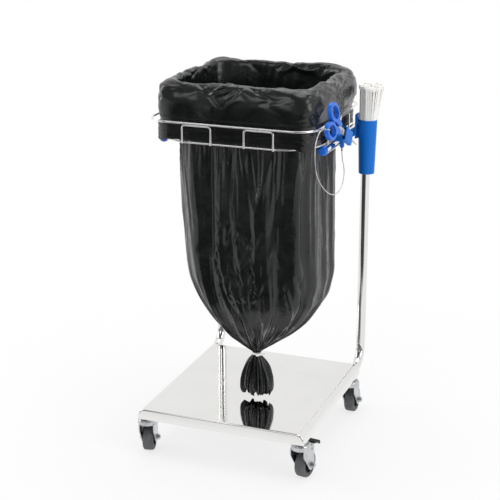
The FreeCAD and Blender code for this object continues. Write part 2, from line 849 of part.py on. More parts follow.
def scissors_holder():
    """A flat pocket for the blades, carried beside the arm by a clip behind it."""
    place = scissors_placement()
    inner_half_height = 13.5
    inner_half_width = size("blade_thickness") + 1.4
    wall = 2
    near = 12
    length = 36
    outer = Part.makeBox(length, 2 * (inner_half_height + wall), 2 * (inner_half_width + wall),
                         Vector(near, -inner_half_height - wall, -inner_half_width - wall))
    outer = outer.makeFillet(2.5, [e for e in outer.Edges if e.BoundBox.XLength > length - 1])
    inner = Part.makeBox(length + 20, 2 * inner_half_height, 2 * inner_half_width,
                         Vector(near - 10, -inner_half_height, -inner_half_width))
    outer.Placement = place
    inner.Placement = place
    side = leg_side() + size("tube_diameter") / 2 + size("seat_gap")
    arm_top = size("arm_height") + size("tube_diameter") / 2
    clip_start = SCISSORS_CLIP_BACK - size("clip_length") / 2
    rail_front = -24
    rail_wide = 4
    rail_tall = 15
    rail = Part.makeBox(rail_wide, clip_start + size("clip_length") - 4 - rail_front, rail_tall,
                        Vector(side, rail_front, arm_top + 1))
    root = Part.makeBox(rail_wide, size("clip_length") - 8, rail_tall + 14,
                        Vector(side, clip_start + 4, arm_top - 13))
    pocket_side = place.multVec(Vector(near + length / 2, 0, 0)).x
    bridge = Part.makeBox(pocket_side - side, 26, 12, Vector(side, rail_front, arm_top + 1))
    anchor = tether_anchor_top()
    lug = Part.makeBox(7, 10, arm_top + 6 - anchor.z, Vector(anchor.x - 3.5, anchor.y - 5, anchor.z))
    clip = arm_clip(SCISSORS_CLIP_BACK, root.fuse([rail, bridge, lug]))
    keep(shaped("scissors_holder", clip.fuse(outer).cut(inner).removeSplitter()), "scissors_holder")


# Tether: a thin wire rope from the lower finger ring to the scissors' holder

TETHER_ROUTE = (
    (24.3, -159.5, 66.8),
    (21.2, -172.5, 56.5),
    (18.9, -181, 35),
    (19.8, -184, 9),
    (20.3, -179, -18),
    (21.3, -160, -43),
    (22.3, -130, -67),
    (22.3, -95, -86),
    (22.8, -58, -99),
    (23.3, -25, -102),
    (24.3, 1, -91),
    (24.8, 12, -70),
    (23.9, 9.5, -50),
    (21.8, 0, -30),
)
CRIMP_LENGTH = 8
CRIMP_RADIUS = 2.2
EYE_RADIUS = 7.2


def tether_anchor_top():
    """Where the rope's crimp meets the lug on the holder."""
    return Vector(leg_side() + 21.8, 0, size("arm_height") - 6)


def tether_eye_place():
    """Middle of the finger ring's rim inside the eye, and the way out from the ring."""
    rim_point = Vector(-78.2, -25.4, 0)
    ring_middle = Vector(-size("finger_ring_reach"), -size("finger_ring_width") / 2 - 0.6, 0)
    place = scissors_placement()
    outward = place.Rotation.multVec((rim_point - ring_middle).normalize())
    return place.multVec(rim_point), outward


def tether_points():
    rim, outward = tether_eye_place()
    start = rim + outward * (EYE_RADIUS + 0.6 + CRIMP_LENGTH)
    arm = Vector(leg_side(), 0, size("arm_height"))
    end = tether_anchor_top() - Vector(0, 0, CRIMP_LENGTH + size("seat_gap"))
    return [start] + [arm + Vector(*point) for point in TETHER_ROUTE] + [end]


def bend_radii(points):
    """Each arc is as large as its two runs allow."""
    radii = [0]
    for before, at, after in zip(points, points[1:], points[2:]):
        turn = (at - before).getAngle(after - at)
        shorter = min((at - before).Length, (after - at).Length)
        radii.append(0.45 * shorter / math.tan(turn / 2))
    return radii + [0]


def tether():
    points = tether_points()
    radii = bend_radii(points)
    route = outline(list(zip(points, radii)), closed=False)
    rope = keep(round_bar("tether", route, "tether_diameter"), "tether")
    length = wire_of(route).Length
    section = math.pi * (size("tether_diameter") / 2) ** 2
    print("tether bends", [round(r, 1) for r in radii[1:-1]])
    print("tether length", round(length, 1), "volume share", round(rope.Shape.Volume / (section * length), 5))

    rim, outward = tether_eye_place()
    across = scissors_placement().Rotation.multVec(Vector(0, 0, 1))
    normal = outward.cross(across)
    eye = Part.makeTorus(EYE_RADIUS, 0.7, rim, normal)
    crimp_start = rim + outward * (EYE_RADIUS + 0.6)
    crimp = Part.makeCylinder(CRIMP_RADIUS, CRIMP_LENGTH, crimp_start, outward)
    keep(shaped("tether_eye", eye.fuse(crimp)), "tether_eye")
    anchor = Part.makeCylinder(CRIMP_RADIUS, CRIMP_LENGTH, points[-1], Vector(0, 0, 1))
    keep(shaped("tether_anchor", anchor), "tether_anchor")


# Casters, each built about its swivel axis and trailing towards the back

def wheel_radius():
    return size("wheel_diameter") / 2


def crown_top():
    """Top of the fork's crown, under the race on the stem."""
    return size("caster_height") - 5


def fork_web_top():
    return crown_top() - 9


def caster_stem(node, place):
    """Stem, race and riveted kingpin, which the fork turns on."""
    stem = size("stem_diameter") / 2
    pin = size("kingpin_diameter") / 2
    race = 14
    top = size("caster_height") + size("tube_wall") + 14
    race_top = size("caster_height") - size("seat_gap")
    race_low = crown_top() + 0.3
    head_top = fork_web_top() - 3 - 0.3
    head_low = head_top - 3
    corners = [(0, head_low), (7, head_low, 1), (7, head_top), (pin, head_top), (pin, race_low),
               (race, race_low), (race, race_top, 0.8), (stem, race_top), (stem, top, 1), (0, top)]
    keep(turned(node, corners, upright=True), node, place)


def fork_outline(has_brake):
    """Side view of a fork leg: broad at the crown, tapering down to the axle."""
    axle_y = size("caster_trail")
    axle_z = wheel_radius()
    top = fork_web_top()
    back = 31 if has_brake else 20
    return [(-17, top), (back, top, 1.5), (back, top - 17, 8), (axle_y + 11, axle_z + 10, 10),
            (axle_y + 10, axle_z - 10, 9.5), (axle_y - 10, axle_z - 10, 9.5), (-17, top - 18, 14)]


def caster_fork(node, place, has_brake):
    body = new_body(node)
    inner = size("hub_width") + 0.6
    outer = inner + 2 * size("fork_sheet")
    side_view = sketch(body, node + "_side", "YZ", flat_outline(fork_outline(has_brake)))
    pad(body, side_view, outer, symmetric=True)
    web_low = fork_web_top() - 3
    gap = [(-60, -5), (-60, web_low), (90, web_low), (90, -5)]
    pocket(body, sketch(body, node + "_gap", "YZ", flat_outline(gap)), inner, symmetric=True)
    crown = sketch(body, node + "_crown", "XY", [circle(0, 0, size("crown_diameter") / 2)],
                   offset=fork_web_top() - 3, radius_cells=((0, "Sizes.crown_diameter / 2"),))
    pad(body, crown, crown_top() - fork_web_top() + 3)

    def crown_rim(edge):
        box = edge.BoundBox
        return box.ZLength < 0.01 and abs(box.ZMin - crown_top()) < 0.01

    fillet(body, 3.5, crown_rim)
    bore = size("kingpin_diameter") / 2 + size("running_clearance")
    kingpin_hole = sketch(body, node + "_kingpin_hole", "XY", [circle(0, 0, bore)], offset=crown_top() + 1)
    pocket(body, kingpin_hole, 20)
    axle_hole = [circle(size("caster_trail"), wheel_radius(), size("axle_diameter") / 2 + size("seat_gap"))]
    if has_brake:
        axle_hole.append(circle(brake_pin_back(), brake_pin_height(), BRAKE_PIN_RADIUS + size("seat_gap")))
    pocket(body, sketch(body, node + "_pin_holes", "YZ", axle_hole), outer + 2, symmetric=True)
    keep(body, node, place)


def caster_axle(node, place):
    """A bolt through the fork and the wheel, with its nut."""
    radius = size("axle_diameter") / 2
    face = size("hub_width") / 2 + 0.3 + size("fork_sheet") + size("seat_gap")
    head = 6.3
    body = turned(node, [(-face - 4.5, 0), (-face - 4.5, head, 1), (-face, head), (-face, radius),
                         (face + 7.5, radius, 0.8), (face + 7.5, 0)], upright=False)
    across = 6.8
    hexagon = [(across * math.cos(math.radians(a)), across * math.sin(math.radians(a)))
               for a in range(0, 360, 60)]
    nut = sketch(body, node + "_nut", "YZ", flat_outline(hexagon), offset=face)
    pad(body, nut, 5.5)
    keep(body, node, place)


def caster_hub(node, place):
    """Wheel centre: boss, dished web and rim, turned about the axle."""
    bore = size("axle_diameter") / 2 + size("running_clearance")
    boss = 9
    half = size("hub_width") / 2
    rim = wheel_radius() - size("tyre_thickness")
    rim_half = size("tyre_width") / 2 - 1.5
    web_half = 2.6
    rim_wall = 3
    corners = [(-half, bore), (-half, boss, 1), (-web_half, boss + 1.5, 1.5),
               (-web_half, rim - rim_wall, 1), (-rim_half, rim - rim_wall), (-rim_half, rim),
               (rim_half, rim), (rim_half, rim - rim_wall), (web_half, rim - rim_wall, 1),
               (web_half, boss + 1.5, 1.5), (half, boss, 1), (half, bore)]
    keep(turned(node, corners, upright=False), node, place)


def caster_tyre(node, place):
    """Soft tyre with a crowned tread and a shallow groove round each shoulder."""
    inner = wheel_radius() - size("tyre_thickness") + size("seat_gap") / 2
    outer = wheel_radius()
    half = size("tyre_width") / 2
    shoulder = 5
    groove = 0.7
    groove_at = inner + 3.2
    left = [(-half + 1.5, inner), (-half, inner + 1.2), (-half, groove_at - 0.8), (-half + groove, groove_at),
            (-half, groove_at + 0.8), (-half, outer - 0.5, shoulder)]
    right = [(-x, r, *rest) for x, r, *rest in reversed(left)]
    keep(turned(node, left + [(0, outer)] + right, upright=False), node, place)


BRAKE_PIN_RADIUS = 2.5


def brake_pin_back():
    return size("caster_trail") + 1.5


def brake_pin_height():
    return fork_web_top() - 9.5


def brake_pin(node, place):
    face = size("hub_width") / 2 + 0.3 + size("fork_sheet")
    corners = [(-face - 1.2, 0), (-face - 1.2, 3.6, 0.6), (-face - 0.1, 3.6), (-face - 0.1, BRAKE_PIN_RADIUS),
               (face + 0.1, BRAKE_PIN_RADIUS), (face + 0.1, 3.6), (face + 1.2, 3.6, 0.6), (face + 1.2, 0)]
    keep(turned(node, corners, upright=False), node, place)


def brake_pedal(node, place):
    """Bent steel lever: a barrel on its pin, an arm over the wheel and a toe plate."""
    barrel = 5
    y = brake_pin_back()
    z = brake_pin_height()
    body = new_body(node)
    lever = [(y - 3, z + barrel - 0.4), (y + 16, z + 4.4, 6), (y + 40, z - 1.5, 2), (y + 40, z - 4, 1),
             (y + 15.5, z + 1.9, 5), (y + 3, z - 1)]
    pad(body, sketch(body, node + "_lever", "YZ", flat_outline(lever)), 26, symmetric=True)
    pad(body, sketch(body, node + "_barrel", "YZ", [circle(y, z, barrel)]), 26, symmetric=True)
    hole = [circle(y, z, BRAKE_PIN_RADIUS + size("running_clearance"))]
    pocket(body, sketch(body, node + "_hole", "YZ", hole), 40, symmetric=True)
    keep(body, node, place)


def brake_tread(node, place):
    """Ribbed plastic shoe on the lever's toe."""
    y = brake_pin_back()
    z = brake_pin_height()
    body = new_body(node)
    slope = -5.9 / 24
    start = y + 19
    lift = z + 4.4 + slope * (start - y - 16) + size("seat_gap")
    end = y + 44
    end_z = lift + slope * (end - start)
    ribs = 5
    top = []
    for i in range(ribs):
        at = start + (end - start) * (i + 0.1) / ribs
        rise = lift + slope * (at - start) + 2.2
        width = (end - start) / ribs
        top += [(at, rise), (at + 0.15 * width, rise + 1.4), (at + 0.55 * width, rise + 1.4 + slope * 0.4 * width),
                (at + 0.7 * width, rise + slope * 0.7 * width)]
    corners = [(start, lift)] + [(start, lift + 2)] + top + [(end, end_z + 2), (end, end_z - 4),
                                                            (y + 40.3, end_z - 4), (y + 40.3, end_z + 0.9)]
    pad(body, sketch(body, node + "_side", "YZ", flat_outline(corners)), 30, symmetric=True)
    keep(body, node, place)


def caster(name, x, y, turn, has_brake):
    """turn is how far the fork has swung from trailing straight back, in degrees."""
    fixed = Placement(Vector(x, y, 0), Rotation())
    swung = Placement(Vector(x, y, 0), Rotation(Vector(0, 0, 1), turn))
    wheel = swung.multiply(Placement(Vector(0, size("caster_trail"), wheel_radius()), Rotation()))
    caster_stem(f"{name}_stem", fixed)
    caster_fork(f"{name}_fork", swung, has_brake)
    caster_axle(f"{name}_axle", wheel)
    caster_hub(f"{name}_hub", wheel)
    caster_tyre(f"{name}_tyre", wheel)
    if has_brake:
        pin_place = Placement(Vector(0, brake_pin_back(), brake_pin_height()), Rotation())
        brake_pin(f"{name}_brake_pin", swung.multiply(pin_place))
        brake_pedal(f"{name}_brake_pedal", swung)
        brake_tread(f"{name}_brake_tread", swung)


# Build the stand

def build_stand():
    base_plate()
    frame_tube("left_tube", -1)
    frame_tube("right_tube", 1)
    arm_cap("left_arm_cap", -1)
    arm_cap("right_arm_cap", 1)
    basket_rings()
    basket_loops()
    film_cassette()
    bag()
    neck_tie()
    tie_holder()
    cable_ties()
    scissors_holder()
    blade("scissors_blade_fixed", -1, -1)
    blade("scissors_blade_free", 1, 1)
    finger_ring("scissors_handle_fixed", -1)
    finger_ring("scissors_handle_free", 1)
    scissors_pivot()
    tether()
    caster("caster_front_left", -leg_side(), caster_front(), 14.6, True)
    caster("caster_front_right", leg_side(), caster_front(), -8.0, True)
    caster("caster_back_left", -leg_side(), caster_back(), 0.0, False)
    caster("caster_back_right", leg_side(), caster_back(), 0.0, False)


CORD_NODES = ("tether", "tether_eye", "tether_anchor")


def stand_on_origin():
    """Move every sub-part so that the origin is the middle of the footprint, the rope apart."""
    box = FreeCAD.BoundBox()
    for part in subparts:
        if part.Label in CORD_NODES:
            continue
        box.add(part.Shape.optimalBoundingBox(False, False))
    shift = Vector(-box.Center.x, -box.Center.y, 0)
    for part in subparts:
        part.Placement.Base = part.Placement.Base + shift
    return shift


def check_and_write():
    doc.recompute()
    for obj in doc.Objects:
        if "Invalid" in obj.State or "Error" in obj.State:
            raise RuntimeError(f"{obj.Label} failed: {obj.State}")
    for part in subparts:
        if part.Shape.isNull() or not part.Shape.isValid():
            raise RuntimeError(f"{part.Label} has no valid shape")
    os.makedirs("parts", exist_ok=True)
    for part in subparts:
        part.Shape.exportStep(f"parts/{part.Label}.step")


build_stand()
shift = stand_on_origin()
check_and_write()
print("moved by", round(shift.x, 3), round(shift.y, 3))
print("sub-parts", len(subparts))
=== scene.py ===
import json
import math
import random
from collections import namedtuple

import bmesh
import bpy
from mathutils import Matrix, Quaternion, Vector, noise


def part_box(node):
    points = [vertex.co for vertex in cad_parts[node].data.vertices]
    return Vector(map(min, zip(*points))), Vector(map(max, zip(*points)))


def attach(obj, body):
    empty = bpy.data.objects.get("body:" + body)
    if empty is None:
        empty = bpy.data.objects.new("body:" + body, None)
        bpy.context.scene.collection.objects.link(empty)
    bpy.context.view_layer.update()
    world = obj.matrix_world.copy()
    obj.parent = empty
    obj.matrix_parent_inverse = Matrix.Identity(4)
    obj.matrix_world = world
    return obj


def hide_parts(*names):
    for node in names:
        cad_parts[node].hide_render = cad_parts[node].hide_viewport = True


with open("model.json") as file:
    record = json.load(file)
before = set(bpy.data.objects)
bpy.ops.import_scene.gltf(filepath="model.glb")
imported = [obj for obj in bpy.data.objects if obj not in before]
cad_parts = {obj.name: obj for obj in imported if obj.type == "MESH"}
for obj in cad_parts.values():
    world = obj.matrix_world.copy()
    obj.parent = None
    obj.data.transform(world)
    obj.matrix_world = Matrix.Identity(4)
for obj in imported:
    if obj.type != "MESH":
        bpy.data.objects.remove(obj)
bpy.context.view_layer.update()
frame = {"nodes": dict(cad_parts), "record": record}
nodes = frame["nodes"]

MM = 0.001
scene = bpy.context.scene
scene.view_settings.view_transform = "Standard"

plate_low, plate_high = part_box("base_plate")
HOME = Vector(((plate_low.x + plate_high.x) / 2, (plate_low.y + plate_high.y) / 2, 0))

# Places of the stand, in millimetres from the middle of the base plate, on the floor
ARM_X = 185.82
ARM_HEIGHT = 722.0
RING_HALF = 191.5
RING_FRONT = -156.0
RING_BACK = 203.0
RING_CORNER = 48.0


def place(x, y, z):
    """A point given in millimetres from the middle of the base plate, on the floor."""
    return HOME + Vector((x, y, z)) * MM


# Camera

CAMERA_AT = (1041.7, -2747.1, 1405.6)
CAMERA_PITCH = 72.1
CAMERA_YAW = 20.9
CAMERA_LENS = 97.0


def make_camera():
    data = bpy.data.cameras.new("camera")
    data.sensor_width = 36
    data.lens = CAMERA_LENS
    data.clip_end = 50
    camera = bpy.data.objects.new("camera", data)
    camera.location = place(*CAMERA_AT)
    camera.rotation_euler = (math.radians(CAMERA_PITCH), 0, math.radians(CAMERA_YAW))
    scene.collection.objects.link(camera)
    scene.camera = camera


make_camera()


# Node trees

class Tree:
    """A short way to write a node tree: each call adds a node and links its inputs."""

    def __init__(self, node_tree):
        self.nodes = node_tree.nodes
        self.links = node_tree.links

    def add(self, kind, inputs=(), **settings):
        node = self.nodes.new(kind)
        for key, value in settings.items():
            setattr(node, key, value)
        for socket, value in dict(inputs).items():
            self.set(node, socket, value)
        return node

    def set(self, node, socket, value):
        if isinstance(value, bpy.types.NodeSocket):
            self.links.new(value, node.inputs[socket])
        else:
            node.inputs[socket].default_value = value

    def math(self, operation, first, second=0.0):
        return self.add("ShaderNodeMath", {0: first, 1: second}, operation=operation).outputs[0]

    def ramp(self, factor, stops):
        """stops are (position, grey or colour) pairs."""
        node = self.add("ShaderNodeValToRGB", {"Fac": factor})
        elements = node.color_ramp.elements
        while len(elements) < len(stops):
            elements.new(0.5)
        for element, (position, colour) in zip(elements, stops):
            element.position = position
            element.color = (colour,) * 3 + (1,) if isinstance(colour, (int, float)) else (*colour, 1)
        return node.outputs["Color"]

    def span(self, factor, low, high, to_low, to_high):
        node = self.add("ShaderNodeMapRange", {"Value": factor, "From Min": low, "From Max": high,
                                               "To Min": to_low, "To Max": to_high})
        return node.outputs["Result"]

    def place(self, scale=(1, 1, 1), source="Object"):
        """Coordinates fixed to the piece, in metres, each axis scaled."""
        coordinates = self.add("ShaderNodeTexCoord").outputs[source]
        return self.add("ShaderNodeMapping", {"Vector": coordinates, "Scale": scale}).outputs[0]

    def noise(self, vector, scale, detail=3.0, roughness=0.5, distortion=0.0):
        node = self.add("ShaderNodeTexNoise", {"Vector": vector, "Scale": scale, "Detail": detail,
                                               "Roughness": roughness, "Distortion": distortion})
        return node.outputs["Fac"]

    def bump(self, height, strength, distance, below=None):
        inputs = {"Height": height, "Strength": strength, "Distance": distance}
        if below is not None:
            inputs["Normal"] = below
        return self.add("ShaderNodeBump", inputs).outputs[0]


def new_material(name):
    """A material with a bare Principled shader: the material, its tree and that shader."""
    material = bpy.data.materials.new(name)
    material.use_nodes = True
    tree = Tree(material.node_tree)
    material.node_tree.nodes.clear()
    shader = tree.add("ShaderNodeBsdfPrincipled")
    tree.add("ShaderNodeOutputMaterial", {"Surface": shader.outputs[0]})
    return material, tree, shader


# Light, floor and surroundings

# What mirrors see of the studio, from its dark front to its white back
STUDIO_IN_MIRRORS = ((0.0, 0.22), (0.3, 0.3), (0.5, 0.75), (0.65, 0.96))
SOFT_LIGHT = 0.62


def make_world():
    world = bpy.data.worlds.new("studio")
    scene.world = world
    world.use_nodes = True
    tree = Tree(world.node_tree)
    world.node_tree.nodes.clear()
    path = tree.add("ShaderNodeLightPath")
    seen = tree.math("MAXIMUM", path.outputs["Is Camera Ray"], path.outputs["Is Transmission Ray"])
    direction = tree.add("ShaderNodeTexCoord").outputs["Generated"]
    axes = tree.add("ShaderNodeSeparateXYZ", {0: direction}).outputs
    depth = tree.ramp(tree.span(axes[1], -1, 1, 0, 1), STUDIO_IN_MIRRORS)
    mirrored = tree.add("ShaderNodeBackground", {"Color": depth, "Strength": 1.0})
    soft = tree.add("ShaderNodeBackground", {"Color": (1, 1, 1, 1), "Strength": SOFT_LIGHT})
    white = tree.add("ShaderNodeBackground", {"Color": (1, 1, 1, 1), "Strength": 1.0})
    light = tree.add("ShaderNodeMixShader", {0: path.outputs["Is Glossy Ray"], 1: soft.outputs[0],
                                             2: mirrored.outputs[0]})
    final = tree.add("ShaderNodeMixShader", {0: seen, 1: light.outputs[0], 2: white.outputs[0]})
    tree.add("ShaderNodeOutputWorld", {"Surface": final.outputs[0]})


def add_softbox(name, at, size, watts, aim=(0, 0, 480)):
    data = bpy.data.lights.new(name, "AREA")
    data.shape = "RECTANGLE"
    data.size, data.size_y = size
    data.energy = watts
    lamp = bpy.data.objects.new(name, data)
    lamp.location = place(*at)
    toward = place(*aim) - lamp.location
    lamp.rotation_euler = toward.to_track_quat("-Z", "Y").to_euler()
    scene.collection.objects.link(lamp)


FLOOR_HALF = 9.0


def make_floor():
    """A plain white floor that stays white to the camera and keeps a soft shadow.

    Mirrors see it bright beside the stand and behind it, and dark in front.
    """
    corners = [(x * FLOOR_HALF, y * FLOOR_HALF, 0) for x, y in ((-1, -1), (1, -1), (1, 1), (-1, 1))]
    mesh = bpy.data.meshes.new("floor")
    mesh.from_pydata(corners, [], [(0, 1, 2, 3)])
    floor = bpy.data.objects.new("floor", mesh)
    scene.collection.objects.link(floor)
    material = bpy.data.materials.new("floor_white")
    material.use_nodes = True
    tree = Tree(material.node_tree)
    material.node_tree.nodes.clear()
    paper = tree.add("ShaderNodeBsdfDiffuse", {"Color": (0.86, 0.86, 0.86, 1)})
    glow = tree.add("ShaderNodeEmission", {"Color": (1, 1, 1, 1), "Strength": 1.0})
    path = tree.add("ShaderNodeLightPath")
    spot = tree.add("ShaderNodeTexCoord").outputs["Object"]
    x, y, _ = tree.add("ShaderNodeSeparateXYZ", {0: spot}).outputs
    squares = tree.math("ADD", tree.math("MULTIPLY", x, x), tree.math("MULTIPLY", y, y))
    far = tree.math("POWER", squares, 0.5)
    whiteness = tree.span(far, 0.35, 1.1, 0.74, 1.0)
    backdrop = tree.math("MULTIPLY", path.outputs["Is Camera Ray"], whiteness)
    sideways = tree.math("ADD", tree.math("ABSOLUTE", x), tree.math("MULTIPLY", y, 0.5))
    beside = tree.span(sideways, 0.35, 0.85, 0.0, 1.0)
    behind = tree.span(y, -0.74, -0.44, 0.06, 1.0)
    flagged = tree.math("MAXIMUM", beside, behind)
    mirrored = tree.add("ShaderNodeEmission", {"Color": (1, 1, 1, 1), "Strength": flagged})
    straight = tree.add("ShaderNodeMixShader", {0: backdrop, 1: paper.outputs[0], 2: glow.outputs[0]})
    mixed = tree.add("ShaderNodeMixShader", {0: path.outputs["Is Glossy Ray"], 1: straight.outputs[0],
                                             2: mirrored.outputs[0]})
    tree.add("ShaderNodeOutputMaterial", {"Surface": mixed.outputs[0]})
    mesh.materials.append(material)


make_world()
make_floor()
add_softbox("overhead", (150, 500, 2700), (2.2, 1.6), 26)
add_softbox("right_softbox", (2300, -700, 1500), (1.0, 1.8), 17)
add_softbox("left_softbox", (-2300, -300, 1400), (0.8, 1.8), 16)
add_softbox("front_softbox", (-700, -3000, 2100), (1.6, 1.2), 12)


# Materials

def toned(colour, share):
    """A colour made darker or lighter."""
    return tuple(c * share for c in colour)


def polished_steel(name, colour, waves, brushed=0.0):
    """Mirror-polished stainless steel: slow waves in its reflections and fine polishing lines."""
    material, tree, shader = new_material(name)
    shader.inputs["Metallic"].default_value = 1.0
    spot = tree.place()
    mottle = tree.noise(spot, 9, 4, 0.55)
    tint = tree.ramp(mottle, ((0.3, toned(colour, 0.95)), (0.7, colour)))
    tree.set(shader, "Base Color", tint)
    lines = tree.noise(tree.place((700, 12, 700)), 1, 2, 0.6)
    scratched = tree.span(lines, 0.3, 0.8, 0.0, 0.035)
    wear = tree.math("ADD", scratched, tree.span(mottle, 0.4, 0.8, 0.0, 0.05))
    tree.set(shader, "Roughness", tree.math("ADD", wear, 0.045 + brushed))
    swell = tree.bump(tree.noise(spot, 5.0, 1, 0.4), 1.0, waves)
    tree.set(shader, "Normal", tree.bump(lines, 0.12, 0.00002, swell))
    return material


def brushed_metal(name, colour, roughness, grain=(60, 900, 900), dull=0.82):
    """Plated or ground steel with a fine grain and slightly duller patches."""
    material, tree, shader = new_material(name)
    shader.inputs["Metallic"].default_value = 1.0
    patches = tree.noise(tree.place(), 55, 5, 0.6)
    tint = tree.ramp(patches, ((0.35, toned(colour, dull)), (0.65, colour)))
    tree.set(shader, "Base Color", tint)
    hair = tree.noise(tree.place(grain), 1.0, 3, 0.6)
    worn = tree.span(patches, 0.3, 0.7, 0.05, -0.03)
    rough = tree.math("ADD", tree.span(hair, 0.2, 0.8, -0.05, 0.07), worn)
    tree.set(shader, "Roughness", tree.math("ADD", rough, roughness))
    tree.set(shader, "Normal", tree.bump(hair, 0.25, 0.00004))
    return material


def moulded_plastic(name, colour, roughness, grain=900, shade=0.88, gloss=0.5):
    """Moulded plastic with a faint orange-peel skin and a little unevenness of colour."""
    material, tree, shader = new_material(name)
    flow = tree.noise(tree.place((18, 18, 9)), 1.0, 3, 0.5)
    tint = tree.ramp(flow, ((0.3, toned(colour, shade)), (0.7, colour)))
    tree.set(shader, "Base Color", tint)
    scuffs = tree.noise(tree.place(), 140, 4, 0.65)
    scuffed = tree.span(scuffs, 0.3, 0.75, -0.03, 0.08)
    tree.set(shader, "Roughness", tree.math("ADD", scuffed, roughness))
    skin = tree.noise(tree.place(), grain, 2, 0.5)
    tree.set(shader, "Normal", tree.bump(skin, 0.12, 0.00006))
    shader.inputs["Specular IOR Level"].default_value = gloss
    return material


def bag_film(name, colour, stretch=(90, 90, 7)):
    """Thin black film: faint draw lines along it, small crumples and an uneven soft gloss."""
    material, tree, shader = new_material(name)
    spot = tree.place()
    haze = tree.noise(spot, 26, 5, 0.62, 0.6)
    tint = tree.ramp(haze, ((0.32, toned(colour, 0.7)), (0.68, toned(colour, 1.35))))
    tree.set(shader, "Base Color", tint)
    tree.set(shader, "Roughness", tree.span(haze, 0.3, 0.7, 0.17, 0.31))
    shader.inputs["Specular IOR Level"].default_value = 0.5
    draw_lines = tree.noise(tree.place(stretch), 1.0, 3, 0.55)
    base = tree.bump(draw_lines, 0.16, 0.0011)
    wrinkle = tree.math("ABSOLUTE", tree.math("SUBTRACT", tree.noise(spot, 26, 2, 0.5), 0.5))
    creased = tree.bump(wrinkle, 0.16, 0.011, base)
    fine = tree.noise(spot, 330, 3, 0.6)
    tree.set(shader, "Normal", tree.bump(fine, 0.05, 0.00018, creased))
    return material


def tyre_rubber(name):
    """Grey polyurethane: matt, with dust in its pores and a paler worn tread."""
    material, tree, shader = new_material(name)
    spot = tree.place()
    dust = tree.noise(spot, 120, 5, 0.65)
    tint = tree.ramp(dust, ((0.35, (0.075, 0.078, 0.082)), (0.6, (0.115, 0.12, 0.125)),
                            (0.8, (0.2, 0.2, 0.2))))
    tree.set(shader, "Base Color", tint)
    tree.set(shader, "Roughness", tree.span(dust, 0.3, 0.8, 0.5, 0.72))
    tree.set(shader, "Normal", tree.bump(tree.noise(spot, 900, 3, 0.6), 0.3, 0.0001))
    return material


def wire_rope(name):
    """Bright wire rope: fine slanted strands, drawn along the rope's own length."""
    material, tree, shader = new_material(name)
    shader.inputs["Metallic"].default_value = 1.0
    along = tree.place((1, 1, 1), "UV")
    lay = tree.add("ShaderNodeTexWave", {"Vector": along, "Scale": 1.0, "Distortion": 0.3, "Detail": 1.0},
                   wave_type="BANDS", bands_direction="DIAGONAL").outputs["Fac"]
    tint = tree.ramp(lay, ((0.1, (0.42, 0.41, 0.39)), (0.7, (0.80, 0.79, 0.77))))
    tree.set(shader, "Base Color", tint)
    grit = tree.noise(tree.place(), 800, 2, 0.5)
    tree.set(shader, "Roughness", tree.span(grit, 0.3, 0.7, 0.26, 0.36))
    tree.set(shader, "Normal", tree.bump(grit, 0.2, 0.0001))
    return material


MATERIALS = {
    "polished_sheet": polished_steel("polished_sheet", (0.83, 0.825, 0.81), 0.0006),
    "tube_steel": polished_steel("tube_steel", (0.80, 0.795, 0.78), 0.00008),
    "wire_steel": polished_steel("wire_steel", (0.84, 0.84, 0.835), 0.00005, 0.05),
    "black_film": bag_film("black_film", (0.0062, 0.0070, 0.0072)),
    "blue_plastic": moulded_plastic("blue_plastic", (0.004, 0.140, 0.70), 0.30, gloss=0.4),
    "holder_plastic": moulded_plastic("holder_plastic", (0.0004, 0.160, 0.64), 0.38, gloss=0.25),
    "white_nylon": moulded_plastic("white_nylon", (0.93, 0.92, 0.89), 0.42, 600, 0.97),
    "blade_steel": brushed_metal("blade_steel", (0.56, 0.54, 0.52), 0.28, (900, 60, 900)),
    "rope_steel": brushed_metal("rope_steel", (0.68, 0.67, 0.65), 0.3),
    "grey_tyre": tyre_rubber("grey_tyre"),
    "black_plastic": moulded_plastic("black_plastic", (0.018, 0.018, 0.02), 0.5, 700),
    "zinc_steel": brushed_metal("zinc_steel", (0.60, 0.61, 0.62), 0.27, (160, 160, 700)),
}
MATERIALS["cassette_film"] = bag_film("cassette_film", (0.0070, 0.0076, 0.0078), (14, 14, 260))
MATERIALS["strand_steel"] = wire_rope("strand_steel")


def dress(piece, material_name):
    piece.data.materials.clear()
    piece.data.materials.append(MATERIALS[material_name])


def dress_nodes():
    """Each CAD node takes the material of its own slot in the record."""
    for part in frame["record"]["subparts"]:
        dress(nodes[part["node"]], part["material_slot"])


dress_nodes()


# Meshes

def mesh_piece(name, points, faces, material_name):
    """A new smooth mesh piece that rides on the frame; points are in metres."""
    mesh = bpy.data.meshes.new(name)
    mesh.from_pydata(points, [], faces)
    mesh.validate()
    mesh.polygons.foreach_set("use_smooth", [True] * len(mesh.polygons))
    piece = bpy.data.objects.new(name, mesh)
    scene.collection.objects.link(piece)
    dress(piece, material_name)
    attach(piece, "root")
    return piece


def grid_faces(rows, columns, closed_rows=False):
    """Quads between rows of points that each close round on themselves."""
    faces = []
    last = rows if closed_rows else rows - 1
    for i in range(last):
        here = i * columns
        there = (i + 1) % rows * columns
        for j in range(columns):
            k = (j + 1) % columns
            faces.append((here + j, here + k, there + k, there + j))
    return faces


def smooth_value(values, t):
    """A smooth curve through evenly spaced values, t from 0 to 1."""
    spans = len(values) - 1
    at = min(max(t, 0.0), 1.0) * spans
    i = min(int(at), spans - 1)
    f = at - i
    a, b, c, d = (values[min(max(i + k, 0), spans)] for k in (-1, 0, 1, 2))
    return b + 0.5 * f * (c - a + f * (2 * a - 5 * b + 4 * c - d + f * (3 * (b - c) + d - a)))


def smooth_step(low, high, value):
    t = min(max((value - low) / (high - low), 0.0), 1.0)
    return t * t * (3 - 2 * t)


# Bag: one film from the cassette's top edge, over the basket and down to the tail

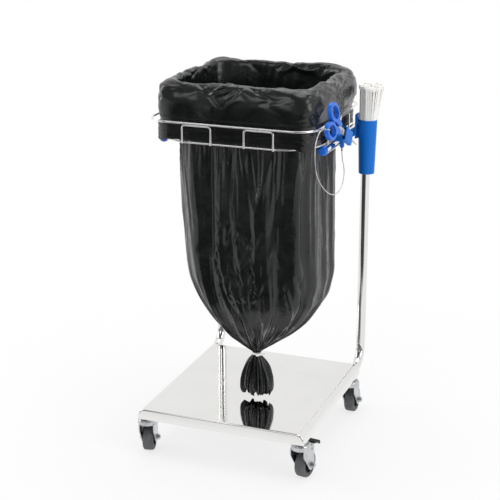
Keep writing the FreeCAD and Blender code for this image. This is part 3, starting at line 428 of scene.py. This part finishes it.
Station = namedtuple("Station", "height x y half_width half_depth square gather drape crumple dent")

# Each station of the film: height, middle in x and y, half width, half depth and squareness of
# its section, then how deep four kinds of relief are: gather (tight narrow folds), drape (broad
# folds of the body), crumple (small dents) and dent (broad dents of the collar)
FILM_STATIONS = (
    (772.3, 3.0, 23.5, 180.0, 168.0, 8.0, 0.0, 0.0, 0.3, 0.0),
    (790.0, 5.0, 23.5, 184.0, 172.0, 8.0, 0.0, 0.0, 0.6, 2.0),
    (815.0, 8.0, 23.5, 187.5, 175.5, 8.0, 0.0, 0.0, 1.0, 3.0),
    (840.0, 8.0, 23.5, 184.0, 172.0, 8.0, 0.2, 0.0, 2.2, 3.0),
    (855.5, 8.0, 23.5, 176.5, 164.5, 7.6, 0.4, 0.0, 3.2, 3.0),
    (862.0, 8.0, 23.5, 166.0, 154.0, 7.0, 0.6, 0.0, 3.6, 3.0),
    (857.0, 8.0, 23.5, 157.4, 145.4, 6.2, 0.9, 0.0, 2.6, 3.0),
    (838.2, 7.0, 23.5, 154.3, 142.3, 5.6, 1.8, 0.0, 1.0, 3.0),
    (810.0, 5.0, 23.5, 151.8, 139.8, 4.8, 2.6, 0.0, 0.4, 3.0),
    (775.0, 3.0, 23.5, 150.5, 138.5, 4.3, 2.8, 1.5, 0.3, 0.0),
    (748.0, 4.0, 23.5, 155.5, 140.6, 4.2, 3.0, 3.0, 0.4, 0.0),
    (727.0, 4.5, 22.5, 156.8, 141.5, 4.1, 3.4, 4.0, 0.4, 0.0),
    (700.0, 5.2, 20.6, 158.0, 142.0, 3.9, 2.9, 5.2, 0.6, 0.0),
    (662.0, 6.5, 17.5, 159.5, 142.0, 3.8, 2.0, 5.9, 0.9, 0.0),
    (620.0, 8.5, 13.0, 160.0, 142.8, 3.55, 1.2, 6.0, 1.3, 0.0),
    (576.0, 10.9, 8.2, 160.0, 143.5, 3.3, 0.7, 6.0, 1.7, 0.0),
    (532.0, 13.8, 4.2, 160.0, 144.2, 3.15, 0.5, 6.0, 2.0, 0.0),
    (490.0, 16.8, -0.8, 159.8, 144.6, 2.97, 0.5, 6.0, 2.0, 0.0),
    (452.0, 20.6, -6.8, 158.7, 142.2, 2.84, 0.6, 6.0, 1.8, 0.0),
    (416.0, 25.0, -12.7, 157.0, 139.0, 2.69, 0.8, 6.0, 1.5, 0.0),
    (390.0, 28.5, -18.8, 150.5, 132.3, 2.54, 1.1, 6.2, 1.2, 0.0),
    (366.0, 31.8, -24.7, 141.8, 124.6, 2.4, 0.9, 6.5, 1.0, 0.0),
    (344.0, 33.2, -31.0, 128.0, 113.0, 2.3, 1.1, 6.5, 0.8, 0.0),
    (321.0, 34.0, -37.7, 111.5, 99.0, 2.2, 1.2, 6.5, 0.6, 0.0),
    (303.0, 34.0, -43.2, 94.0, 85.0, 2.15, 1.2, 6.1, 0.5, 0.0),
    (285.0, 34.0, -49.0, 73.5, 68.2, 2.1, 1.2, 5.5, 0.4, 0.0),
    (270.0, 33.6, -53.8, 53.5, 50.0, 2.05, 1.2, 4.4, 0.3, 0.0),
    (256.0, 33.1, -58.0, 34.5, 32.5, 2.0, 1.8, 3.0, 0.2, 0.0),
    (244.5, 33.0, -61.0, 18.5, 18.0, 2.0, 1.4, 1.4, 0.0, 0.0),
    (236.0, 33.0, -62.0, 9.0, 9.0, 2.0, 0.7, 0.4, 0.0, 0.0),
    (229.5, 33.0, -62.0, 8.2, 8.2, 2.0, 0.6, 0.4, 0.0, 0.0),
    (221.5, 33.0, -62.0, 13.0, 11.0, 2.0, 1.8, 1.4, 0.2, 0.0),
    (210.0, 33.0, -62.0, 21.0, 14.5, 2.0, 2.9, 2.6, 0.4, 0.0),
    (195.0, 33.0, -62.0, 28.5, 17.5, 2.0, 3.6, 3.5, 0.7, 0.0),
    (176.0, 33.0, -62.0, 33.6, 19.8, 2.0, 3.9, 4.1, 1.0, 0.0),
    (155.0, 33.0, -62.0, 36.0, 20.5, 2.0, 3.9, 4.5, 1.3, 0.0),
    (142.0, 33.0, -62.0, 35.5, 19.2, 2.0, 3.8, 4.4, 1.5, 0.0),
    (134.5, 33.0, -62.0, 31.5, 15.5, 2.0, 3.6, 3.6, 1.7, 0.0),
)
COLLAR_STATIONS = 9
ROWS_PER_STATION = 9
BAG_COLUMNS = 600

# Broad folds of the body and of the collar: how many go round, share of the depth, and start
BODY_FOLDS = ((17, 0.5, 0.4), (12, 0.3, 1.9), (7, 0.2, 4.1))
COLLAR_DENTS = ((5, 0.4, 0.9), (9, 0.35, 2.6), (13, 0.25, 5.0))
COLLAR_LIFT = 4.0
HEM_TEETH = 12.0

# Narrow folds: about how many go round the collar, the body and the tail, and broader ones that
# fan out over the body
COLLAR_GATHERS = 24
BODY_GATHERS = 46
TAIL_GATHERS = 13
FAN_FOLDS = 19
NECK_HEIGHT = 232

# Loose creases: how many on the collar and on the body, and how many crinkles on its front
COLLAR_CREASES = 190
BODY_CREASES = 90
CRINKLES = 60
MM_PER_DEGREE = 2.9

# Single creases of the body: the angle and height of three points on each, its half width and
# how far it stands out (or is drawn in)
CREASE_MM_PER_DEGREE = 2.8
CREASE_FADE = 40
CREASES = (
    ((-134, 742), (-133, 650), (-130, 530), 5, -3.0),
    ((-126, 742), (-125, 650), (-123, 520), 8, 3.4),
    ((-114, 742), (-113.5, 640), (-114, 480), 8, -4.4),
    ((-103, 742), (-103, 630), (-105, 480), 8, 3.6),
    ((-93, 742), (-94, 690), (-96, 610), 6, -2.6),
    ((-84, 742), (-80, 665), (-73, 581), 7, 3.0),
    ((-56, 742), (-64, 665), (-73, 581), 7, 3.0),
    ((-73, 560), (-73, 500), (-74, 420), 6, 2.6),
    ((-70, 742), (-70, 690), (-72, 620), 7, -3.0),
    ((-49, 742), (-52, 660), (-60, 540), 7, -3.0),
    ((-38, 742), (-37, 640), (-36, 470), 6, -3.6),
    ((-30, 735), (-31, 640), (-30, 470), 4, 3.2),
    ((-4, 742), (2, 560), (8, 372), 8, 3.8),
    ((22, 742), (20, 600), (20, 460), 8, -3.0),
    ((-109, 470), (-105, 395), (-92, 285), 6, -4.0),
    ((-99, 455), (-95, 380), (-84, 285), 7, 3.0),
    ((-41, 440), (-32, 377), (-28, 275), 6, -4.0),
    ((-50, 420), (-41, 340), (-33, 255), 4.5, 3.8),
    ((-70, 330), (-68, 290), (-62, 250), 5, -3.0),
    ((-140, 400), (-130, 330), (-118, 262), 6, -3.2),
    ((0, 372), (-4, 320), (-8, 262), 7, 3.0),
    ((70, 742), (72, 600), (76, 460), 9, -3.4),
    ((95, 742), (96, 620), (92, 480), 8, 3.4),
    ((128, 742), (124, 610), (120, 470), 9, -3.4),
    ((160, 742), (164, 620), (170, 480), 8, 3.2),
)


def film_rows():
    """The stations, smoothed into rows."""
    columns = list(zip(*FILM_STATIONS))
    steps = (len(FILM_STATIONS) - 1) * ROWS_PER_STATION
    return [Station(*(smooth_value(column, i / steps) for column in columns)) for i in range(steps + 1)]


def drawn_out(angle, along, cells, seed):
    """Noise that runs along the film: about cells folds round it, wandering with along."""
    radius = cells / (2 * math.pi) * 1.6
    return noise.noise(Vector((radius * math.cos(angle) + seed, radius * math.sin(angle), along + seed)))


def creased(value, sharpness):
    """Turns smooth noise into rounded folds with sharp valleys between them."""
    return 1 - 2 * min(abs(value) * 2.2, 1.0) ** sharpness


def waves(folds, angle, phase=0.0):
    return sum(share * math.cos(count * angle + start + phase) for count, share, start in folds)


def turn_from(middle, degrees):
    """How far an angle is from another, the short way round and with its sign."""
    return (degrees - middle + 180) % 360 - 180


def crease_at(crease, degrees, height):
    """How far one single crease moves the film at an angle and height."""
    (a0, h0), (a1, h1), (a2, h2), width, depth = crease
    if not h2 - CREASE_FADE < height < h0 + CREASE_FADE:
        return 0.0
    low_angle, low, high_angle, high = (a1, h1, a0, h0) if height > h1 else (a2, h2, a1, h1)
    share = min(max((height - low) / (high - low), 0.0), 1.0)
    middle = low_angle + (high_angle - low_angle) * share
    away = abs(turn_from(middle, degrees)) * CREASE_MM_PER_DEGREE
    fade = smooth_step(h2 - CREASE_FADE, h2 + 30, height) * (1 - smooth_step(h0 - 4, h0 + 20, height))
    return depth * fade * max(1 - away / (1.7 * width), 0.0)


# A loose crease: its middle (angle, and way along the film), half length, slant, half width and depth
LooseCrease = namedtuple("LooseCrease", "angle way half_length slant half_width depth")


def in_or_out(rand, low, high):
    return rand.choice((-1, 1)) * rand.uniform(low, high)


def loose_creases():
    """Straight creases strewn over the collar and, smaller, over the body."""
    rand = random.Random(11)
    creases = []
    for i in range(COLLAR_CREASES):
        on_rim = i % 4
        way = rand.uniform(62, 118) if on_rim else rand.uniform(18, 62)
        slant = in_or_out(rand, 8, 48)
        depth = in_or_out(rand, 0.9, 2.7) * (1 if on_rim else 0.6)
        creases.append(LooseCrease(rand.uniform(0, 360), way, rand.uniform(18, 50), slant,
                                   rand.uniform(5, 11), depth))
    for _ in range(BODY_CREASES):
        creases.append(LooseCrease(rand.uniform(0, 360), rand.uniform(300, 620), rand.uniform(12, 34),
                                   90 + rand.uniform(-28, 28), rand.uniform(6, 10),
                                   in_or_out(rand, 0.7, 1.7)))
    for _ in range(CRINKLES):
        creases.append(LooseCrease(rand.uniform(248, 285), rand.uniform(400, 590), rand.uniform(8, 20),
                                   rand.uniform(20, 150), rand.uniform(4, 7.5),
                                   in_or_out(rand, 1.0, 2.3)))
    return creases


def creases_near(creases, degrees):
    """The loose creases that reach a column of the film."""
    return [crease for crease in creases
            if abs(turn_from(crease.angle, degrees)) * MM_PER_DEGREE < crease.half_length + crease.half_width]


def loose_offset(near, degrees, way):
    """How far the loose creases near a column move the film, at a way along it."""
    total = 0.0
    for crease in near:
        x = turn_from(crease.angle, degrees) * MM_PER_DEGREE
        y = way - crease.way
        c, s = math.cos(math.radians(crease.slant)), math.sin(math.radians(crease.slant))
        run = abs(x * c + y * s) / crease.half_length
        off = abs(y * c - x * s) / crease.half_width
        if run < 1 and off < 1:
            total += crease.depth * (1 - off) * (1 - run ** 2)
    return total


def film_offset(angle, travel, row, spot, over):
    """How far the film stands off its smooth form at one point, in millimetres.

    travel rises and falls with the height, and over tells the collar from the rest.
    """
    wander = noise.noise(Vector((2.0 * math.cos(angle), 2.0 * math.sin(angle), travel / 130)))
    turned = angle + 0.042 * wander
    soft = noise.noise(spot / 46 + Vector((5.5, 1.5, 7.7)))
    if over:
        folds = creased(drawn_out(turned, travel / 190, COLLAR_GATHERS, 3.1), 0.9)
        return 0.4 * row.crumple * soft + 0.5 * row.gather * folds
    gathers = TAIL_GATHERS if travel < NECK_HEIGHT else BODY_GATHERS
    narrow = creased(drawn_out(turned, travel / 190, gathers, 3.1), 0.8)
    fan = creased(drawn_out(turned, travel / 330, FAN_FOLDS, 11.7), 0.9)
    singles = sum(crease_at(crease, math.degrees(angle), row.height) for crease in CREASES)
    return 0.8 * row.gather * narrow + 0.6 * row.crumple * soft + singles + 0.15 * row.drape * fan


def smooth_point(row, angle):
    """A point of the film before its narrow folds and creases."""
    across = abs(math.cos(angle)) / row.half_width
    along = abs(math.sin(angle)) / row.half_depth
    reach = (across ** row.square + along ** row.square) ** (-1 / row.square)
    reach += row.drape * waves(BODY_FOLDS, angle) + row.dent * waves(COLLAR_DENTS, angle)
    lift = COLLAR_LIFT * waves(COLLAR_DENTS, angle, 1) * smooth_step(815, 850, row.height)
    lift += HEM_TEETH * noise.noise(Vector((3.1 * angle, 2.0, 4.0))) * smooth_step(160, 132, row.height)
    return Vector((row.x + reach * math.cos(angle), row.y + reach * math.sin(angle), row.height + lift))


def film_points():
    """Points of the whole film, row by row, from the cassette to the tail's hem."""
    rows = film_rows()
    angles = [2 * math.pi * j / BAG_COLUMNS for j in range(BAG_COLUMNS)]
    smooth = [[smooth_point(row, angle) for angle in angles] for row in rows]
    creases = loose_creases()
    near = [creases_near(creases, math.degrees(angle)) for angle in angles]
    points = []
    way = 0.0
    for i, row in enumerate(rows):
        over = i < COLLAR_STATIONS * ROWS_PER_STATION
        travel = -row.height if over else row.height
        if i:
            before = rows[i - 1]
            way += math.hypot(row.height - before.height, row.half_width - before.half_width)
        above = smooth[max(i - 1, 0)]
        here = smooth[i]
        below = smooth[min(i + 1, len(rows) - 1)]
        for j, angle in enumerate(angles):
            across = here[(j + 1) % BAG_COLUMNS] - here[j - 1]
            normal = across.cross(above[j] - below[j]).normalized()
            offset = film_offset(angle, travel, row, here[j], over)
            offset += loose_offset(near[j], math.degrees(angle), way)
            points.append(here[j] + normal * offset)
    return points


def make_bag():
    points = film_points()
    faces = grid_faces(len(points) // BAG_COLUMNS, BAG_COLUMNS)
    bag = mesh_piece("bag_film", [HOME + p * MM for p in points], faces, "black_film")
    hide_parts("bag")


make_bag()


# Film cassette: the folded stack in the basket

CASSETTE_LOW = 738.0
CASSETTE_HIGH = 771.8
CASSETTE_INSET = 9.5
CASSETTE_OFFSET = 3.0
CASSETTE_THICK = 22.0
CASSETTE_LAYERS = 12
CORNER_SAG = 7.0
CORNER_STEPS = 14
ROUTE_STEP = 6.0


def ring_points(inset):
    """Points round the basket inside the upper ring's line, with the way out at each."""
    half = RING_HALF - inset
    low, high = RING_FRONT + inset, RING_BACK - inset
    radius = RING_CORNER - inset
    centres = ((half - radius, low + radius, -90), (half - radius, high - radius, 0),
               (radius - half, high - radius, 90), (radius - half, low + radius, 180))
    points = []
    for k, (x, y, start) in enumerate(centres):
        for i in range(CORNER_STEPS + 1):
            turn = math.radians(start + 90 * i / CORNER_STEPS)
            out = Vector((math.cos(turn), math.sin(turn), 0))
            points.append((Vector((x, y, 0)) + out * radius, out))
        next_x, next_y, _ = centres[(k + 1) % len(centres)]
        end, out = points[-1]
        target = Vector((next_x, next_y, 0)) + out * radius
        steps = int((target - end).length / ROUTE_STEP)
        for i in range(1, steps):
            points.append((end.lerp(target, i / steps), out))
    return points


def cassette_section(spot, out, angle):
    """The stack's section at one place: its folds from the top down, then its plain inner side."""
    section = []
    for k in range(CASSETTE_LAYERS * 2 + 1):
        t = k / (CASSETTE_LAYERS * 2)
        height = CASSETTE_HIGH + (CASSETTE_LOW - CASSETTE_HIGH) * t
        ripple = noise.noise(Vector((3.2 * math.cos(angle), 3.2 * math.sin(angle), k * 0.37)))
        dip = noise.noise(Vector((9.5 * math.cos(angle), 9.5 * math.sin(angle), k * 0.9 + 4)))
        fold = 0.2 if k % 2 else -1.7 - 0.8 * dip
        sag = CORNER_SAG * 2 * abs(out.x * out.y) * t
        rise = height + 0.8 * ripple * (1 - abs(2 * t - 1)) - sag
        section.append(spot + out * (fold - 0.6 + 1.1 * ripple) + Vector((0, 0, rise)))
    inner = spot - out * (CASSETTE_THICK - 2)
    section.append(inner + Vector((0, 0, CASSETTE_LOW + 0.6)))
    section.append(inner + Vector((0, 0, CASSETTE_HIGH - 0.6)))
    return section


def make_cassette():
    route = ring_points(CASSETTE_INSET)
    rows = [cassette_section(spot, out, 2 * math.pi * i / len(route))
            for i, (spot, out) in enumerate(route)]
    points = [place(p.x + CASSETTE_OFFSET, p.y, p.z) for row in rows for p in row]
    faces = grid_faces(len(rows), len(rows[0]), closed_rows=True)
    cassette = mesh_piece("cassette_stack", points, faces, "cassette_film")
    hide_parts("film_cassette")


make_cassette()


# Cable ties in the cup

TIE_CUP_X = ARM_X + 37.7
TIE_CUP_Y = 143.0
TIE_FOOT = 627.8
TIE_LENGTH = 195.0
TIE_LEAN = 7.0
RIM_REACH = 17.4
TOP_REACH = 24.5

# Each ring of straps: its radius at the cup's foot and how many straps stand in it
TIE_RINGS = ((1.6, 4), (4.6, 11), (7.6, 18), (10.8, 25), (14.2, 32))

# A strap's half width and thickness, its head's half width, thickness and height, how many
# pieces it is made of, and where along it it bends outwards
STRAP_HALF_WIDTH = 2.3
STRAP_THICKNESS = 1.2
HEAD_HALF_WIDTH = 3.7
HEAD_HALF_THICKNESS = 2.5
HEAD_HALF_HEIGHT = 3.4
HEAD_TAPER = 0.86
STRAP_PIECES = 8
BEND_AT = 0.526
TIP_SHARE = 0.45


def box_between(mesh, corners):
    """Adds a block given its eight corners: the lower four in order, then the upper four."""
    verts = [mesh.verts.new(c) for c in corners]
    for face in ((0, 3, 2, 1), (4, 5, 6, 7), (0, 1, 5, 4), (1, 2, 6, 5), (2, 3, 7, 6), (3, 0, 4, 7)):
        mesh.faces.new([verts[i] for i in face])


def add_strap(mesh, foot_reach, rim_reach, top_reach, top_height, turn, twist):
    """One cable tie standing head up: a thin strap that bends outwards at the cup's rim."""
    radial = Vector((math.cos(turn), math.sin(turn), 0))
    twisted = Quaternion((0, 0, 1), twist)
    side = twisted @ Vector((-radial.y, radial.x, 0))
    thin = twisted @ radial
    sections = []
    for i in range(STRAP_PIECES + 1):
        t = i / STRAP_PIECES
        reach = foot_reach + (rim_reach - foot_reach) * min(t / BEND_AT, 1)
        reach += (top_reach - rim_reach) * max(0, (t - BEND_AT) / (1 - BEND_AT))
        at = radial * reach + Vector((0, 0, TIE_FOOT + (top_height - TIE_FOOT) * t))
        half = side * STRAP_HALF_WIDTH * (1.0 if i else TIP_SHARE)
        depth = thin * STRAP_THICKNESS
        sections.append([at - half, at + half, at + half + depth, at - half + depth])
    for low, high in zip(sections, sections[1:]):
        box_between(mesh, low + high)
    centre = at + thin * STRAP_THICKNESS / 2
    tall = Vector((0, 0, HEAD_HALF_HEIGHT))
    corners = [side * s * HEAD_HALF_WIDTH + thin * d * HEAD_HALF_THICKNESS
               for s, d in ((-1, -1), (1, -1), (1, 1), (-1, 1))]
    low = [centre - tall + c * HEAD_TAPER for c in corners]
    high = [centre + tall + c for c in corners]
    box_between(mesh, low + high)


def make_cable_ties():
    rand = random.Random(7)
    mesh = bmesh.new()
    for ring, count in TIE_RINGS:
        share = ring / TIE_RINGS[-1][0]
        for i in range(count):
            turn = 2 * math.pi * (i + 0.4 * ring + 0.25 * rand.uniform(-1, 1)) / count
            top_height = TIE_FOOT + TIE_LENGTH + rand.uniform(-4.5, 4.5)
            top_reach = share * (TOP_REACH + TIE_LEAN * math.cos(turn)) + rand.uniform(-0.8, 0.8)
            add_strap(mesh, ring, share * RIM_REACH, top_reach, top_height, turn, rand.uniform(-0.35, 0.35))
    data = bpy.data.meshes.new("cable_tie_bunch")
    for v in mesh.verts:
        v.co = place(TIE_CUP_X + v.co.x, TIE_CUP_Y + v.co.y, v.co.z)
    bmesh.ops.recalc_face_normals(mesh, faces=mesh.faces)
    mesh.to_mesh(data)
    mesh.free()
    bunch = bpy.data.objects.new("cable_tie_bunch", data)
    scene.collection.objects.link(bunch)
    dress(bunch, "white_nylon")
    rounding = bunch.modifiers.new("edges", "BEVEL")
    rounding.width = 0.25 * MM
    rounding.segments = 2
    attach(bunch, "root")
    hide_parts("cable_ties")


make_cable_ties()


# Tether: wire rope from the lower finger ring to the scissors' holder

TETHER_START = (212.1, -147.1, 788.1)

# The rest of its way, from the middle of the arm
TETHER_ROUTE = (
    (24.3, -159.5, 66.8),
    (21.2, -172.5, 56.5),
    (18.9, -181, 35),
    (19.8, -184, 9),
    (20.3, -179, -18),
    (21.3, -160, -43),
    (22.3, -130, -67),
    (22.3, -95, -86),
    (22.8, -58, -99),
    (23.3, -25, -102),
    (24.3, 1, -91),
    (24.8, 12, -70),
    (23.9, 9.5, -50),
    (21.8, 0, -30),
    (21.8, 0, -14.1),
)
TETHER_DIAMETER = 0.002


def make_tether():
    route = [place(*TETHER_START)]
    route += [place(ARM_X + x, y, ARM_HEIGHT + z) for x, y, z in TETHER_ROUTE]
    curve = bpy.data.curves.new("tether_rope", "CURVE")
    curve.dimensions = "3D"
    curve.resolution_u = 12
    curve.bevel_depth = TETHER_DIAMETER / 2
    curve.bevel_resolution = 5
    curve.use_fill_caps = True
    spline = curve.splines.new("NURBS")
    spline.points.add(len(route) - 1)
    for point, at in zip(spline.points, route):
        point.co = (*at, 1)
    spline.order_u = 3
    spline.use_endpoint_u = True
    rope = bpy.data.objects.new("tether_rope", curve)
    scene.collection.objects.link(rope)
    curve.materials.append(MATERIALS["strand_steel"])
    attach(rope, "root")
    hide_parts("tether")


make_tether()
